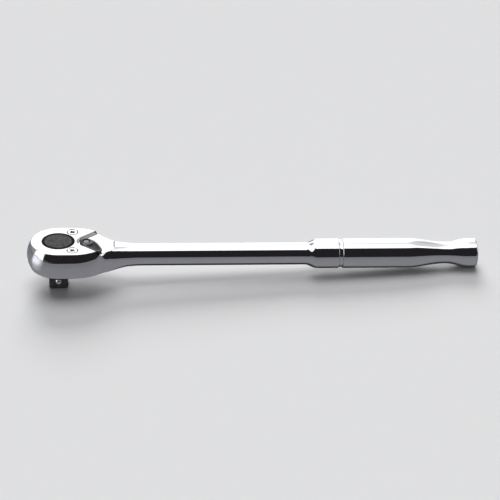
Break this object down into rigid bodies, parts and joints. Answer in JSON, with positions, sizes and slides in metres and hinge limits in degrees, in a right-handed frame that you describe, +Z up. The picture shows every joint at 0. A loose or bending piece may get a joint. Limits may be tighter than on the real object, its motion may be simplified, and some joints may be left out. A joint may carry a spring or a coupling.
{
  "type": "reversible ratchet handle",
  "caption": "Hand-operated reversible ratchet handle: oval head with thumb lever, square drive with detent ball, round neck and smooth flared grip.",
  "frame": {"origin": "centre of the square drive's end face, on the axis the drive turns about", "axes": "+Z up the drive axis towards the cover plate, +X along the handle to its flared end"},
  "size_m": [0.3044, 0.0418, 0.0331],
  "materials": {
    "chrome": "polished chrome plate over a forging",
    "cover_chrome": "polished chrome plate",
    "screw_steel": "bright plated",
    "black_oxide": "black oxide, satin",
    "lever_black": "black oxide, satin, rubbed at the edges",
    "disc_grey": "dark grey, finely grained",
    "bronze": "plain bearing bronze",
    "spring_steel": "oiled spring steel",
    "seal_rubber": "matt",
    "polished_steel": "ground and polished",
    "tool_steel": "hardened, oiled"
  },
  "bodies": {
    "handle": {"ratchet_body": "chrome", "cover_plate": "cover_chrome", "cover_screws": "screw_steel", "thrust_washer": "bronze", "friction_washer": "spring_steel"},
    "drive": {"drive_gear": "black_oxide", "boss_disc": "disc_grey", "drive_o_ring": "seal_rubber", "ball_spring": "spring_steel"},
    "ball": {"socket_ball": "polished_steel"},
    "lever": {"reversing_lever": "lever_black", "lever_shaft": "polished_steel", "lever_retaining_ring": "spring_steel", "plunger_spring": "spring_steel"},
    "plunger": {"pawl_plunger": "polished_steel"},
    "pawl": {"pawl": "tool_steel"}
  },
  "joints": [
    {"name": "drive_spin", "type": "hinge", "parent": "handle", "child": "drive", "pos_m": [0, 0, 0.02], "axis": [0, 0, 1], "continuous": true},
    {"name": "ball_press", "type": "slide", "parent": "drive", "child": "ball", "axis": [0, 1, 0], "range_m": [0, 0.0014], "deforming": ["ball_spring"]},
    {"name": "lever_throw", "type": "hinge", "parent": "handle", "child": "lever", "pos_m": [0.0187, 0, 0.03], "axis": [0, 0, 1], "range_deg": [0, 108]},
    {"name": "pawl_rock", "type": "hinge", "parent": "handle", "child": "pawl", "pos_m": [0.0187, 0, 0.024], "axis": [0, 0, 1], "range_deg": [-10, 0]},
    {"name": "plunger_press", "type": "slide", "parent": "lever", "child": "plunger", "axis": [0.5878, -0.809, 0], "range_m": [0, 0.0005], "deforming": ["plunger_spring"]}
  ],
  "couplings": [
    {"joint": "pawl_rock", "follows": "lever_throw", "ratio": -0.092593}
  ]
}
